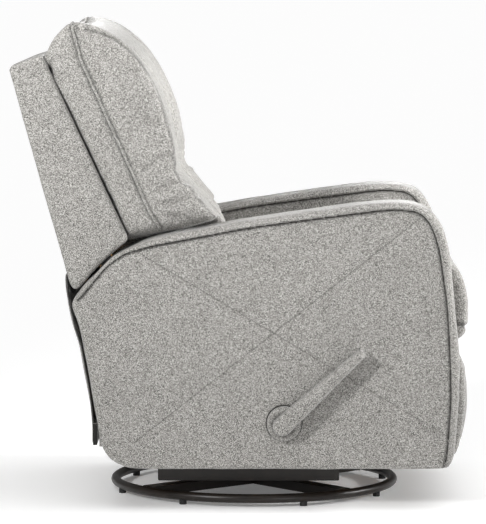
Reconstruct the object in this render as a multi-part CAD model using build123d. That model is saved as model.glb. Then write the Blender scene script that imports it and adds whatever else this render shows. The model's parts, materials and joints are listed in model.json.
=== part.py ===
from build123d import *
import math
import os

os.makedirs("parts", exist_ok=True)

# Swivel glider recliner. +X is forward, +Y is the sitter's left, +Z is up.
# The origin is on the floor, under the swivel axis.

# ---- driving dimensions -------------------------------------------------

# floor base, turned a little on its swivel against the chair
base_yaw = -4.5
ring_radius = 308.5
tube_radius = 10
foot_height = 8
foot_radius = 8
foot_spread = 20
arm_angles = (45, 135, 225, 315)
cross_width = 36
cross_wall = 2

# swivel bearing, stacked from the cross arms upwards
plate_size = 180
plate_thick = 4
bearing_height = 10
bearing_gap = 0.3
race_inner = 60
race_outer = 72
king_radius = 9
king_rise = 12
nut_radius = 16
nut_height = 8

# fits
running_fit = 0.08
side_gap = 0.3

# lateral layers of the mechanism, from the arms inwards
seat_half = 248
arm_width = 122
sheet = 4
rivet_gap = 4
washer_gap = 2


def next_layer(layer, gap):
    """The sheet that lies inside another one, past a gap."""
    return (layer[0] - gap - sheet, layer[0] - gap)


arm_layer = (seat_half, seat_half + arm_width)
plate_layer = (seat_half - sheet, seat_half)
link_layer = next_layer(plate_layer, rivet_gap)
carrier_layer = next_layer(link_layer, rivet_gap)
bracket_layer = next_layer(carrier_layer, rivet_gap)
rail_layer = next_layer(bracket_layer, washer_gap)
glide_link_layer = next_layer(rail_layer, washer_gap)
stand_layer = next_layer(glide_link_layer, washer_gap)

# glide linkage: four equal hanging links
glide_pivot_x = 140
glide_pivot_top = 222
glide_link = 120
glide_pin_radius = 5
glide_eye = 13
glide_slot = 4
slot_margin = 28
stand_rear = -208
stand_front = 186
stand_flange = 24
stand_height = 38
ear_root = 30
ear_sink = 8
rail_half = 165
rail_drop = 14
rail_rise = 16
bridge_half = 75
bridge_flange = 16

# cross tubes that tie the two sides of the mechanism
tube_side = 20
tube_wall = 2
tube_front_x = 5
tube_rear_x = -60

# footrest linkage: two equal links a side, a carrier and a crank that drive it
link_front = (230, 300)
link_rear = (link_front[0] - 65, link_front[1] - 26)
link_length = 190
link_angle = -115
link_eye = 12
drive_eye = 10
crank_root = 17
knee_step = (70, 8)
board_gap = 20
bracket_height = 90
bracket_foot = 30
rivet_radius = 5
head_radius = 8
head_thick = 2
footrest_pivot = (385, 230)
crank_radius = 60
lever_axis = (66, 189)
drive_tube_radius = 11
drive_tube_wall = 3

# side plates and seat deck
deck_bottom = 345
deck_thick = 12
deck_rear = -195
deck_front = 400
back_pivot = (-230, 330)
plate_rim = 32
plate_hang = 10
corner_round = 12
window = (80, 46)
window_points = [(-100, 250), (60, 265)]
bolt_points = [(-180, 290), (-60, 200), (0, 290), (195, 325)]
bolt_radius = 4
front_rail_x = (372, 396)
front_rail_height = 37
rear_rail_z = (122, 165)
rear_rail_x = (-333, -300)
strip_x = (-341, -333)
strip_z = (140, 185)
flap_thick = 3

# arms
arm_bottom = 89
panel_sink = 8
rim_round = 9
frame_board = 18
frame_layer = (seat_half + frame_board, seat_half + 2 * frame_board)
rail_block_x = (-265, 295)
rail_block_low = 150
lightening = [(-220, 430), (-100, 450), (20, 470), (140, 490), (260, 500)]
lightening_size = (80, 90)

# lever on the right arm
boss_radius = 37
boss_depth = 22
paddle_angle = 42.8
paddle_reach = 231.4
paddle_depth = 24
paddle_root = 20.5
paddle_tip = 13
paddle_back = 3.5

# seat and footrest cushions
cushion_gap = 4
pad_gap = 5
cushion_half = seat_half - cushion_gap
pad_half = seat_half - pad_gap
board_thick = 15
board_half = 230
board_z = (112, 318)
board_x = footrest_pivot[0] + board_gap
pad_z = (99, 330)

# backrest
shell_inset = 20
shell_wall = 25
wing_wall = 28
shell_half = seat_half + arm_width - shell_inset
wing_inner = shell_half - wing_wall
frame_depth = 40
upright_width = 46
upright_layer = (link_layer[0] - upright_width, link_layer[0])
upright_foot = -20
upright_top = 430
back_rail_height = 45
bracket_round = 16
bracket_hub = 18
pillow_bottom = 548
pillow_half = shell_half - 6
pillow_crown = (-363, 1041)
pillow_foot = (-62, pillow_bottom)
pillow_front = [(-62, 640), (-110, 750), (-156, 860), (-212, 950), (-282, 1013)]
pillow_back = (-436, 975)
wing_gap = 2
wing_line = [(-154, 603), (-60, 620)]

# the pillow's cover is drawn in on an X: a tuft in the middle, a seam out to each corner
# its side edge has a waist at the tuft: how far forward, and how far up from the foot or the tuft
tuft_height = 745
edge_below = [(-92, -0.1), (-94, 0.3), (-98, 0.48), (-130, 0.75), (-158, 0.97)]
edge_above = [(-171, 50), (-195, 132)]
tuft_depth = 36
seam_depth = 14
seam_width = 56
seam_corners = [(300, 985), (225, 575)]
lobe_crown = 20
lobe_reach = 110
relief_foot = 530
relief_top = 962
relief_step = 36


# ---- helpers ------------------------------------------------------------

def slab(face, layer, side):
    """A face drawn in X and Z, given thickness between two distances from the middle plane."""
    low, high = sorted((side * layer[0], side * layer[1]))
    return Pos(0, high, 0) * extrude(Plane.XZ * face, high - low)


def disc(point, radius):
    return Pos(point[0], point[1]) * Circle(radius)


def polar(point, radius, angle):
    turn = math.radians(angle)
    return (point[0] + radius * math.cos(turn), point[1] + radius * math.sin(turn))


def tapered(start, end, r_start, r_end):
    """A flat bar with round ends, wider at one end if the radii differ."""
    span = math.dist(start, end)
    heading = math.degrees(math.atan2(end[1] - start[1], end[0] - start[0]))
    lean = math.degrees(math.acos((r_start - r_end) / span))
    corners = [
        polar(start, r_start, heading + lean),
        polar(end, r_end, heading + lean),
        polar(end, r_end, heading - lean),
        polar(start, r_start, heading - lean),
    ]
    return make_face(Polyline(*corners, close=True)) + disc(start, r_start) + disc(end, r_end)


def bar(start, end, radius):
    return tapered(start, end, radius, radius)


def block(x, y, z):
    """A box from its low and high values along each axis."""
    return Pos((x[0] + x[1]) / 2, (y[0] + y[1]) / 2, (z[0] + z[1]) / 2) * Box(
        x[1] - x[0], y[1] - y[0], z[1] - z[0]
    )


def pin(point, radius, layer, side):
    return slab(disc(point, radius), layer, side)


def both(name, make):
    """The same piece on the right (-1) and the left (+1) side."""
    parts[name + "_r"] = make(-1)
    parts[name + "_l"] = make(1)


def shift(point, step):
    return (point[0] + step[0], point[1] + step[1])


def outline(start, *runs):
    """A closed face from a chain of runs; each run starts where the one before it ended."""
    edges = []
    here = start
    for kind, points in runs + ((Polyline, [start]),):
        if here != points[-1]:
            edges.append(kind(here, *points))
        here = points[-1]
    return make_face(edges)


parts = {}
sides = (-1, 1)

# ---- floor base ---------------------------------------------------------

ring_z = foot_height + tube_radius
cross_low = foot_height
cross_high = foot_height + 2 * tube_radius
turn = Rot(0, 0, base_yaw)
ring = Pos(0, 0, ring_z) * Torus(ring_radius, tube_radius)
parts["base_ring"] = turn * ring


def cross_tube(reach):
    outer = block(reach, (-cross_width / 2, cross_width / 2), (cross_low, cross_high))
    half = cross_width / 2 - cross_wall
    inner = block(reach, (-half, half), (cross_low + cross_wall, cross_high - cross_wall))
    return outer - inner


cross_reach = ring_radius - tube_radius + 3
long_arm = cross_tube((-cross_reach, cross_reach)) - ring
short_arm = cross_tube((cross_width / 2, cross_reach)) - ring
parts["cross_arm_long"] = turn * Rot(0, 0, arm_angles[0]) * long_arm
parts["cross_arms_short"] = Compound(
    children=[turn * Rot(0, 0, angle) * short_arm for angle in (arm_angles[1], arm_angles[3])]
)

pad_top = ring_z - tube_radius + 3
foot = Pos(ring_radius, 0, pad_top / 2) * Cylinder(foot_radius, pad_top) - ring
feet = [
    turn * Rot(0, 0, angle + spread) * foot
    for angle in arm_angles
    for spread in (-foot_spread, foot_spread)
]
parts["floor_glides"] = Compound(children=feet)

# ---- swivel bearing -----------------------------------------------------

lower_top = cross_high + plate_thick
upper_low = lower_top + bearing_height
upper_top = upper_low + plate_thick
bridge_top = upper_top + plate_thick
square = RectangleRounded(plate_size, plate_size, 12)
parts["swivel_plate_lower"] = turn * Pos(0, 0, cross_high) * extrude(square, plate_thick)
race = Circle(race_outer) - Circle(race_inner)
parts["ball_race"] = Pos(0, 0, lower_top) * extrude(race, bearing_height - bearing_gap)
pin_top = bridge_top + king_rise
shank = Pos(0, 0, lower_top) * extrude(Circle(king_radius), pin_top - lower_top)
nut = Pos(0, 0, bridge_top + bearing_gap) * extrude(RegularPolygon(nut_radius, 6), nut_height)
parts["king_pin"] = shank + nut

king_bore = Circle(king_radius + running_fit)
parts["swivel_plate_upper"] = Pos(0, 0, upper_low) * extrude(square - king_bore, plate_thick)

# ---- turntable ----------------------------------------------------------

stand_top = upper_low + stand_height
top_front = (glide_pivot_x, glide_pivot_top)
top_rear = (-glide_pivot_x, glide_pivot_top)
low_front = (glide_pivot_x, glide_pivot_top - glide_link)
low_rear = (-glide_pivot_x, glide_pivot_top - glide_link)
glide_bore = glide_pin_radius + running_fit


def stand(side):
    middle = ((stand_rear + stand_front) / 2, (upper_low + stand_top) / 2)
    web = Pos(*middle) * RectangleRounded(stand_front - stand_rear, stand_height, 4)
    for pivot in (top_front, top_rear):
        root = (pivot[0], stand_top - ear_sink)
        web += tapered(root, pivot, ear_root, glide_eye)
    web -= Pos(middle[0], upper_low - ear_root) * Rectangle(stand_front - stand_rear, 2 * ear_root)
    for pivot in (top_front, top_rear):
        web -= disc(pivot, glide_pin_radius)
    flange_in = stand_layer[0] - stand_flange
    y = sorted((side * flange_in, side * stand_layer[0]))
    return slab(web, stand_layer, side) + block((stand_rear, stand_front), y, (upper_low, upper_top))


both("glide_stand", stand)

bridge_y = (-stand_layer[0], stand_layer[0])
bridge = block((-bridge_half, bridge_half), bridge_y, (upper_top, bridge_top))
for x in (-bridge_half, bridge_half - plate_thick):
    bridge += block((x, x + plate_thick), bridge_y, (bridge_top, bridge_top + bridge_flange))
parts["turntable_bridge"] = bridge - Pos(0, 0, upper_top) * extrude(king_bore, plate_thick)


def upper_pin(pivot, side):
    inner = stand_layer[0] - head_thick
    outer = glide_link_layer[1] + side_gap
    shank = pin(pivot, glide_pin_radius, (stand_layer[0], outer), side)
    inner_head = pin(pivot, head_radius, (inner, stand_layer[0]), side)
    return shank + inner_head + pin(pivot, head_radius, (outer, outer + 1), side)


def lower_pin(pivot, side):
    shank = pin(pivot, glide_pin_radius, (glide_link_layer[0], rail_layer[1]), side)
    return shank + pin(pivot, head_radius, (rail_layer[1], rail_layer[1] + head_thick - 0.5), side)


parts["glide_pins_upper"] = Compound(
    children=[upper_pin(pivot, side) for pivot in (top_front, top_rear) for side in sides]
)
parts["glide_pins_lower"] = Compound(
    children=[lower_pin(pivot, side) for pivot in (low_front, low_rear) for side in sides]
)


def glide_hanger(top, low):
    face = bar(top, low, glide_eye) - disc(top, glide_bore) - disc(low, glide_bore)
    slot = bar(shift(top, (0, -slot_margin)), shift(low, (0, slot_margin)), glide_slot)
    return lambda side: slab(face - slot, glide_link_layer, side)


both("glide_link_front", glide_hanger(top_front, low_front))
both("glide_link_rear", glide_hanger(top_rear, low_rear))

# ---- mechanism frame ----------------------------------------------------

rail_low = low_front[1] - rail_drop
rail_top = low_front[1] + rail_rise


def glide_rail(side):
    face = Pos(0, (rail_low + rail_top) / 2) * RectangleRounded(
        2 * rail_half, rail_top - rail_low, 10
    )
    for pivot in (low_front, low_rear):
        face -= disc(pivot, glide_pin_radius)
    return slab(face, rail_layer, side)


both("glide_rail", glide_rail)


def mechanism_tube(x):
    half = tube_side / 2
    hollow = half - tube_wall
    y = (-plate_layer[0], plate_layer[0])
    outer = block((x - half, x + half), y, (rail_top, rail_top + tube_side))
    return outer - block(
        (x - hollow, x + hollow), y, (rail_top + tube_wall, rail_top + tube_side - tube_wall)
    )


parts["cross_tube_front"] = mechanism_tube(tube_front_x)
parts["cross_tube_rear"] = mechanism_tube(tube_rear_x)

plate_low = rail_top - plate_hang
plate_front = link_front[0] + plate_rim
plate_rear = back_pivot[0] - plate_rim
plate_outline = [
    (plate_rear, deck_bottom),
    (plate_front, deck_bottom),
    (plate_front, link_front[1] - 25),
    (link_front[0] - 25, link_front[1] - 38),
    (lever_axis[0] + 44, lever_axis[1] - 24),
    (lever_axis[0] - 26, plate_low),
    (tube_rear_x - plate_rim, plate_low),
    (back_pivot[0] + 40, back_pivot[1] - 100),
    (plate_rear, back_pivot[1] - 34),
]
drive_bore = drive_tube_radius + running_fit


def side_plate(side):
    face = make_face(Polyline(*plate_outline, close=True))
    face = fillet(face.vertices(), corner_round)
    for point in (link_front, link_rear, back_pivot):
        face -= disc(point, rivet_radius)
    for point in bolt_points:
        face -= disc(point, bolt_radius)
    face -= disc(lever_axis, drive_bore)
    for centre in window_points:
        face -= Pos(*centre) * RectangleRounded(*window, corner_round)
    return slab(face, plate_layer, side)


both("side_plate", side_plate)


def bolt(point, side):
    shank = pin(point, bolt_radius, (plate_layer[0], frame_layer[0]), side)
    return shank + pin(point, head_radius - 1, (plate_layer[0] - 2, plate_layer[0]), side)


parts["side_bolts"] = Compound(
    children=[bolt(point, side) for point in bolt_points for side in sides]
)


def rivet(point, side):
    shank = pin(point, rivet_radius, (link_layer[0] - side_gap, plate_layer[1]), side)
    tail = (link_layer[0] - side_gap - head_thick, link_layer[0] - side_gap)
    return shank + pin(point, head_radius, tail, side)


parts["pivot_rivets"] = Compound(
    children=[rivet(p, side) for p in (link_front, link_rear, back_pivot) for side in sides]
)

# ---- arms ---------------------------------------------------------------


# side outline of the padded arm: cut away behind, sloping up to a round front corner
arm_face = outline(
    (-385, 442),
    (Spline, [
        (-333, 508), (-252, 567), (-154, 595), (-6, 621), (227, 654), (298, 659),
        (373, 643), (407, 594), (429, 423), (439, 296), (436, 206), (429, 118),
    ]),
    (ThreePointArc, [(421, 98), (404, arm_bottom)]),
    (Polyline, [(-239, arm_bottom)]),
    (ThreePointArc, [(-300, 106), (-325, 144)]),
    (Spline, [(-340, 233), (-359, 341), (-385, 442)]),
)
panel_face = outline(
    (-358, 467),
    (Spline, [
        (-313, 520), (-267, 552), (-186, 573), (-6, 606), (227, 637), (298, 644),
        (350, 637), (377, 609), (399, 530), (413, 423), (421, 270), (412, 100),
    ]),
    (Polyline, [(404, 60), (-430, 60), (-430, 440)]),
)
frame_line = [
    (-285, 120), (392, 120), (392, 560), (350, 618), (285, 625), (0, 582), (-215, 545), (-325, 455),
]
frame_face = make_face(Polyline(*frame_line, close=True))
rail_block = make_face(Polyline(
    (rail_block_x[0], rail_block_low), (rail_block_x[1], rail_block_low),
    (rail_block_x[1], deck_bottom), (rail_block_x[0], deck_bottom),
    close=True,
))
arm_bore = drive_tube_radius + 3


def arm_cover(side):
    cover = slab(arm_face, arm_layer, side)
    rims = cover.edges().filter_by(Plane.XZ).group_by(Axis.Y)
    cover = fillet(rims[0] + rims[-1], rim_round)
    cover -= slab(panel_face, (arm_layer[1] - panel_sink, arm_layer[1] + 1), side)
    cover -= slab(frame_face, frame_layer, side)
    cover -= slab(rail_block, (arm_layer[0], frame_layer[0]), side)
    if side < 0:
        cover -= slab(disc(lever_axis, arm_bore), arm_layer, side)
    return cover


def arm_frame(side):
    board = frame_face
    for centre in lightening:
        board -= Pos(*centre) * RectangleRounded(*lightening_size, corner_round)
    frame = slab(board, frame_layer, side) + slab(rail_block, (arm_layer[0], frame_layer[0]), side)
    for point in bolt_points:
        frame -= slab(disc(point, bolt_radius), (arm_layer[0], frame_layer[0]), side)
    return frame - slab(disc(lever_axis, arm_bore), (arm_layer[0], frame_layer[1]), side)


both("arm_cover", arm_cover)
both("arm_frame", arm_frame)

# ---- rails, deck, seat and rear flap ------------------------------------

full = (-arm_layer[0], arm_layer[0])
parts["front_rail"] = block(front_rail_x, full, (deck_bottom - front_rail_height, deck_bottom))
rear_block = block((strip_x[1], rear_rail_x[1]), full, rear_rail_z)
rear_strip = block(strip_x, (-shell_half, shell_half), strip_z)
parts["rear_rail"] = rear_strip + rear_block
deck_y = (-arm_layer[0] + side_gap, arm_layer[0] - side_gap)
deck_top = deck_bottom + deck_thick
parts["seat_deck"] = block((deck_rear, deck_front), deck_y, (deck_bottom, deck_top))


def centred(face, half):
    return slab(face, (-half, half), 1)


seat_face = outline(
    (deck_front + 4, deck_bottom + 3),
    (Polyline, [(440, 350)]),
    (Spline, [(464, 380), (464, 431), (450, 497), (400, 538)]),
    (Spline, [(200, 548), (-40, 540), (-185, 518)]),
    (Polyline, [(-190, 510), (-190, deck_top), (deck_front + 4, deck_top)]),
)
parts["seat_cushion"] = centred(seat_face, cushion_half)

flap_line = [
    (strip_x[0], strip_z[0] + 2), (strip_x[0], strip_z[1]), (-350, 245), (-362, 300),
    (-371, 350), (-385, 395), (-396, 440), (-401, 480), (-402, 512),
]
flap_back = [(x - flap_thick, z) for x, z in reversed(flap_line)]
flap_face = make_face(Polyline(*flap_line, *flap_back, close=True))
parts["rear_flap"] = centred(flap_face, shell_half - 2)

# ---- lever and its drive tube -------------------------------------------

boss_out = arm_layer[1] - panel_sink + boss_depth
boss_in = arm_layer[1] - panel_sink + 0.5
tube_end = boss_out - 4
tube_face = disc(lever_axis, drive_tube_radius)
hollow_face = disc(lever_axis, drive_tube_radius - drive_tube_wall)
tube_reach = (-tube_end, plate_layer[1])
parts["drive_tube"] = slab(tube_face - hollow_face, tube_reach, 1)
boss = slab(disc(lever_axis, boss_radius), (boss_in, boss_out), -1)
boss = chamfer(boss.edges().group_by(Axis.Y)[0], 4)
parts["lever_boss"] = boss - slab(tube_face, (boss_in, tube_end), -1)

paddle_start = polar(lever_axis, -paddle_back, paddle_angle)
paddle_end = polar(lever_axis, paddle_reach - paddle_tip, paddle_angle)
paddle_face = tapered(paddle_start, paddle_end, paddle_root, paddle_tip)
paddle = slab(paddle_face, (boss_out, boss_out + paddle_depth), -1)
parts["lever_paddle"] = fillet(paddle.edges().filter_by(Plane.XZ), 7)

crank_pin = polar(lever_axis, crank_radius, link_angle)
drive_end = polar(link_front, crank_radius, link_angle)
fit_radius = rivet_radius + running_fit


def crank(side):
    arm = tapered(lever_axis, crank_pin, crank_root, link_eye) - tube_face
    stud = pin(crank_pin, rivet_radius, (bracket_layer[1], carrier_layer[1] + side_gap), side)
    head = (carrier_layer[1] + side_gap, carrier_layer[1] + side_gap + 1.5)
    return slab(arm, bracket_layer, side) + stud + pin(crank_pin, head_radius, head, side)


def drive_link(side):
    face = bar(crank_pin, drive_end, drive_eye)
    face -= disc(crank_pin, fit_radius) + disc(drive_end, fit_radius)
    return slab(face, carrier_layer, side)


both("drive_crank", crank)
both("drive_link", drive_link)

# ---- footrest linkage ---------------------------------------------------

carrier_front = polar(link_front, link_length, link_angle)
carrier_rear = polar(link_rear, link_length, link_angle)


def front_link(side):
    face = bar(link_front, carrier_front, link_eye)
    face -= disc(link_front, fit_radius) + disc(carrier_front, fit_radius)
    link = slab(face, link_layer, side)
    return link + pin(drive_end, rivet_radius, (carrier_layer[0] - 1, link_layer[0]), side)


def rear_link(side):
    face = bar(link_rear, carrier_rear, link_eye)
    face -= disc(link_rear, fit_radius) + disc(carrier_rear, fit_radius)
    return slab(face, link_layer, side)


def carrier(side):
    knee = shift(carrier_front, knee_step)
    face = bar(carrier_rear, carrier_front, link_eye) + bar(carrier_front, knee, link_eye)
    face += bar(knee, footrest_pivot, link_eye)
    plate = slab(face, carrier_layer, side)
    for point in (carrier_front, carrier_rear):
        plate += pin(point, rivet_radius, (carrier_layer[1], link_layer[1] + side_gap), side)
        head = (link_layer[1] + side_gap, link_layer[1] + side_gap + 1.5)
        plate += pin(point, head_radius, head, side)
    plate += pin(footrest_pivot, rivet_radius, (bracket_layer[0] - side_gap, carrier_layer[0]), side)
    tail = (bracket_layer[0] - side_gap - head_thick, bracket_layer[0] - side_gap)
    return plate + pin(footrest_pivot, head_radius, tail, side)


both("footrest_link_front", front_link)
both("footrest_link_rear", rear_link)
both("footrest_carrier", carrier)


def footrest_bracket(side):
    face = bar(footrest_pivot, shift(footrest_pivot, (8, -34)), link_eye)
    middle = ((footrest_pivot[0] + board_x) / 2 - 5, footrest_pivot[1] - 15)
    face += Pos(*middle) * Rectangle(2 * (board_x - middle[0]), bracket_height)
    face -= disc(footrest_pivot, fit_radius)
    y = sorted((side * (bracket_layer[0] - bracket_foot), side * bracket_layer[0]))
    low = middle[1] - bracket_height / 2
    foot = block((board_x - sheet, board_x), y, (low, low + bracket_foot))
    return slab(face, bracket_layer, side) + foot


both("footrest_bracket", footrest_bracket)
board_y = (-board_half, board_half)
parts["footrest_board"] = block((board_x, board_x + board_thick), board_y, board_z)
pad_back = board_x + board_thick
pad_face = outline(
    (pad_back, pad_z[1]),
    (Polyline, [(446, pad_z[1])]),
    (Spline, [(459, 262), (456, 179), (440, pad_z[0])]),
    (Polyline, [(pad_back, pad_z[0])]),
)
parts["footrest_pad"] = centred(pad_face, pad_half)

# ---- backrest -----------------------------------------------------------

# The rear face of the shell is a straight slope; the frame lies along it.
slope_foot = (-390, 482)
slope_head = (-518, 938)
slope_length = math.dist(slope_foot, slope_head)
slope_turn = math.degrees(math.atan2(slope_head[1] - slope_foot[1], slope_head[0] - slope_foot[0]))


def on_slope(along, forward):
    """A point so far up the rear slope and so far in front of it."""
    return polar(polar(slope_foot, along, slope_turn), forward, slope_turn - 90)


def slope_strip(low, high, near, far):
    corners = [on_slope(low, near), on_slope(high, near), on_slope(high, far), on_slope(low, far)]
    return make_face(Polyline(*corners, close=True))


wing_edge = [(-434, 944), (-303, 663), (-263, 578)]
shell_face = outline(
    slope_foot,
    (Polyline, [slope_head]),
    (ThreePointArc, [(-514, 948), (-506, 951)]),
    (Polyline, [(-443, 971), *wing_edge]),
    (Spline, [(-309, 540), (-337, 512), (-366, 478)]),
    (Polyline, [(-379, 468)]),
)
shell = centred(shell_face, shell_half)
hollow_drop = -60
hollow_roof = 14
hollow_front = [(-443, 940), (-200, 940), (-200, 440)]
hollow_low = on_slope(hollow_drop, shell_wall)
hollow_high = on_slope(upright_top + hollow_roof, shell_wall)
hollow_face = make_face(Polyline(hollow_low, hollow_high, *hollow_front, close=True))
parts["back_shell"] = shell - centred(hollow_face, wing_inner)

frame_near = shell_wall
frame_far = shell_wall + frame_depth
upright_face = slope_strip(upright_foot, upright_top, frame_near, frame_far)
both("back_upright", lambda side: slab(upright_face, upright_layer, side))
parts["back_top_rail"] = centred(
    slope_strip(upright_top - back_rail_height, upright_top, frame_near, frame_far), upright_layer[0]
)
parts["back_bottom_rail"] = centred(
    slope_strip(upright_foot, upright_foot + back_rail_height, frame_near, frame_far),
    upright_layer[0],
)


def back_bracket(side):
    low = on_slope(10, (frame_near + frame_far) / 2)
    high = on_slope(110, (frame_near + frame_far) / 2)
    face = tapered(back_pivot, low, bracket_hub, bracket_round) + bar(low, high, bracket_round)
    face -= disc(back_pivot, fit_radius)
    return slab(face, (upright_layer[1], link_layer[1]), side)


both("back_bracket", back_bracket)

pillow_rear = frame_far
pillow_face = outline(
    on_slope(upright_top + 20, pillow_rear),
    (Polyline, [on_slope(120, pillow_rear), (-300, pillow_bottom), pillow_foot]),
    (Spline, [*pillow_front, pillow_crown]),
    (Spline, [shift(pillow_crown, (-22, -3)), shift(pillow_crown, (-55, -35)), pillow_back]),
)
clear_top = pillow_crown[1] + 60
wing_start = shift(wing_edge[-1], (0, wing_gap))
above_arm = make_face(Polyline(
    shift(wing_start, (-shell_half, 0)), wing_start, *wing_line,
    (wing_line[-1][0], clear_top), (wing_start[0] - shell_half, clear_top), close=True,
))
ahead_of_shell = make_face(Polyline(
    wing_start, *reversed(wing_edge[:-1]), (pillow_back[0], clear_top),
    (wing_line[-1][0], clear_top), *reversed(wing_line), close=True,
))
tuft_rise = tuft_height - pillow_bottom
pillow_edge = [(x, pillow_bottom + share * tuft_rise) for x, share in edge_below]
pillow_edge += [(x, tuft_height + rise) for x, rise in edge_above]


def edge_at(height):
    """How far forward the side edge of the pillow's front stands at a height."""
    for low, high in zip(pillow_edge, pillow_edge[1:]):
        if height <= high[1]:
            break
    return low[0] + (high[0] - low[0]) * (height - low[1]) / (high[1] - low[1])


def drawn_in(y, z):
    """How deep the tuft and its seams draw the cover in at a point."""
    deepest = 0
    for corner in seam_corners:
        run = (corner[0], corner[1] - tuft_height)
        reach = math.hypot(*run)
        along = max(0, min(1, (abs(y) * run[0] + (z - tuft_height) * run[1]) / reach**2))
        off = math.hypot(abs(y) - along * run[0], z - tuft_height - along * run[1])
        depth = seam_depth + (tuft_depth - seam_depth) * (1 - along) ** 2
        deepest = max(deepest, depth * math.exp(-((off / seam_width) ** 2)))
    return deepest


def front_point(y, z):
    rise = 1 - math.exp(-(((z - tuft_height) / lobe_reach) ** 2))
    rise *= max(0, 1 - (y / pillow_half) ** 2)
    return Vector(edge_at(z) + lobe_crown * rise - drawn_in(y, z), y, z)


relief_half = pillow_half + relief_step
columns = math.ceil(2 * relief_half / relief_step)
rows = math.ceil((relief_top - relief_foot) / relief_step)
relief_points = [
    [
        front_point(relief_half * (2 * i / columns - 1), relief_foot + relief_step * j)
        for j in range(rows + 1)
    ]
    for i in range(columns + 1)
]
relief = Face.make_surface_from_array_of_points(relief_points, tol=0.5)
before_relief = extrude(relief, 200, dir=(1, 0, 0))

wide = centred(pillow_face, wing_inner) & centred(above_arm, wing_inner)
head = centred(pillow_face, pillow_half) & centred(ahead_of_shell, pillow_half)
narrow = centred(pillow_face, cushion_half)
parts["back_pillow"] = wide + head + narrow - parts["back_shell"] - before_relief

# ---- export -------------------------------------------------------------

for name, shape in parts.items():
    export_step(shape, f"parts/{name}.step")
print(len(parts), "pieces")
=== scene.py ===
import json
import math
import bpy
import bmesh
import numpy as np
from mathutils import Matrix, Vector, noise
from mathutils.bvhtree import BVHTree


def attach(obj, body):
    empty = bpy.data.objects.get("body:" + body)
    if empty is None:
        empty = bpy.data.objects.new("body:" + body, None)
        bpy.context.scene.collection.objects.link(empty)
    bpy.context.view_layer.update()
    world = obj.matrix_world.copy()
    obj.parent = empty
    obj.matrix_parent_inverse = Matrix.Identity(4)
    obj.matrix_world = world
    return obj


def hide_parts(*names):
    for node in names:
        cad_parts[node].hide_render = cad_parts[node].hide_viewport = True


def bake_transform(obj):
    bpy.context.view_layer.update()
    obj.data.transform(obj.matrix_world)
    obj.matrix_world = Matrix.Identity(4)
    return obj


# In the looks below, outlines, rows, planes and the lever's measures are in millimetres. Depths, widths and
# radii of the cover are in metres. A pair such as (0.0045, 0.0042) is the depth and the width of a soft dent.

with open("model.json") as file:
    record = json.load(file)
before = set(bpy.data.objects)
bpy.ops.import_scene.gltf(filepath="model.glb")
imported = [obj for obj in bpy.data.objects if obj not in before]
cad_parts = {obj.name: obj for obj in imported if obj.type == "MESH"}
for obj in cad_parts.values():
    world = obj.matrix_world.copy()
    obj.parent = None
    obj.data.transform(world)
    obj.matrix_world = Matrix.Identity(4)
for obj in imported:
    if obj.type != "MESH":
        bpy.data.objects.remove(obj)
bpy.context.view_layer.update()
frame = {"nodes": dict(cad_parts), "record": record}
nodes = frame["nodes"]
scene = bpy.context.scene
scene.view_settings.view_transform = "Standard"


# ---- small tools ----

def metres(points):
    return [tuple(c / 1000 for c in p) for p in points]


def smoothLine(points, step, closed=False):
    # an even row of points on a soft curve through the given ones
    pts = [Vector(p) for p in points]
    count = len(pts)
    out = []
    for i in range(count if closed else count - 1):
        if closed:
            a, b, c, d = (pts[(i + k - 1) % count] for k in range(4))
        else:
            a, b, c, d = (pts[min(max(i + k - 1, 0), count - 1)] for k in range(4))
        parts = max(1, round((c - b).length / step))
        for j in range(parts):
            t = j / parts
            out.append(0.5 * (2 * b + (c - a) * t + (2 * a - 5 * b + 4 * c - d) * t * t
                              + (3 * b - a - 3 * c + d) * t * t * t))
    if not closed:
        out.append(pts[-1])
    return out


def sideLine(points, step, closed=False):
    # the same for a row in X and Z, given in millimetres
    return [(p[0], p[1]) for p in smoothLine([(x, z, 0) for x, z in metres(points)], step, closed)]


def newPiece(name, bm):
    mesh = bpy.data.meshes.new(name)
    bm.to_mesh(mesh)
    bm.free()
    obj = bpy.data.objects.new(name, mesh)
    scene.collection.objects.link(obj)
    return obj


def bakeModifiers(obj):
    # the modifiers' result becomes the piece's own mesh
    dg = bpy.context.evaluated_depsgraph_get()
    made = bpy.data.meshes.new_from_object(obj.evaluated_get(dg))
    obj.modifiers.clear()
    old = obj.data
    obj.data = made
    bpy.data.meshes.remove(old)


def copyOfNode(node, name):
    bm = bmesh.new()
    bm.from_mesh(nodes[node].data)
    bmesh.ops.remove_doubles(bm, verts=bm.verts, dist=1e-5)
    return newPiece(name, bm)


def remeshed(obj, voxel):
    mod = obj.modifiers.new("skin", "REMESH")
    mod.mode = "VOXEL"
    mod.voxel_size = voxel
    bakeModifiers(obj)


def relaxed(obj, rounds):
    mod = obj.modifiers.new("relax", "SMOOTH")
    mod.factor = 0.5
    mod.iterations = rounds
    bakeModifiers(obj)


def finer(obj):
    mod = obj.modifiers.new("finer", "SUBSURF")
    mod.levels = 1
    mod.render_levels = 1
    bakeModifiers(obj)


def readPoints(obj):
    co = np.empty(len(obj.data.vertices) * 3)
    obj.data.vertices.foreach_get("co", co)
    return co.reshape(-1, 3)


def readNormals(obj):
    no = np.empty(len(obj.data.vertices) * 3)
    obj.data.vertex_normals.foreach_get("vector", no)
    return no.reshape(-1, 3)


def writePoints(obj, co):
    obj.data.vertices.foreach_set("co", np.asarray(co, float).ravel())
    obj.data.update()


def paintShade(obj, value):
    # painted shade: how dark each point is drawn, strongest deep in seams, gaps and recesses where shade
    # falls; the weave darkens its colour by it
    layer = obj.data.attributes.get("seam") or obj.data.attributes.new("seam", "FLOAT", "POINT")
    layer.data.foreach_set("value", np.clip(value, 0, 1).astype(np.float32))


def ease(x):
    x = np.clip(x, 0, 1)
    return x * x * (3 - 2 * x)


def bell(d, width):
    return np.exp(-(d / width) ** 2)


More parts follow.
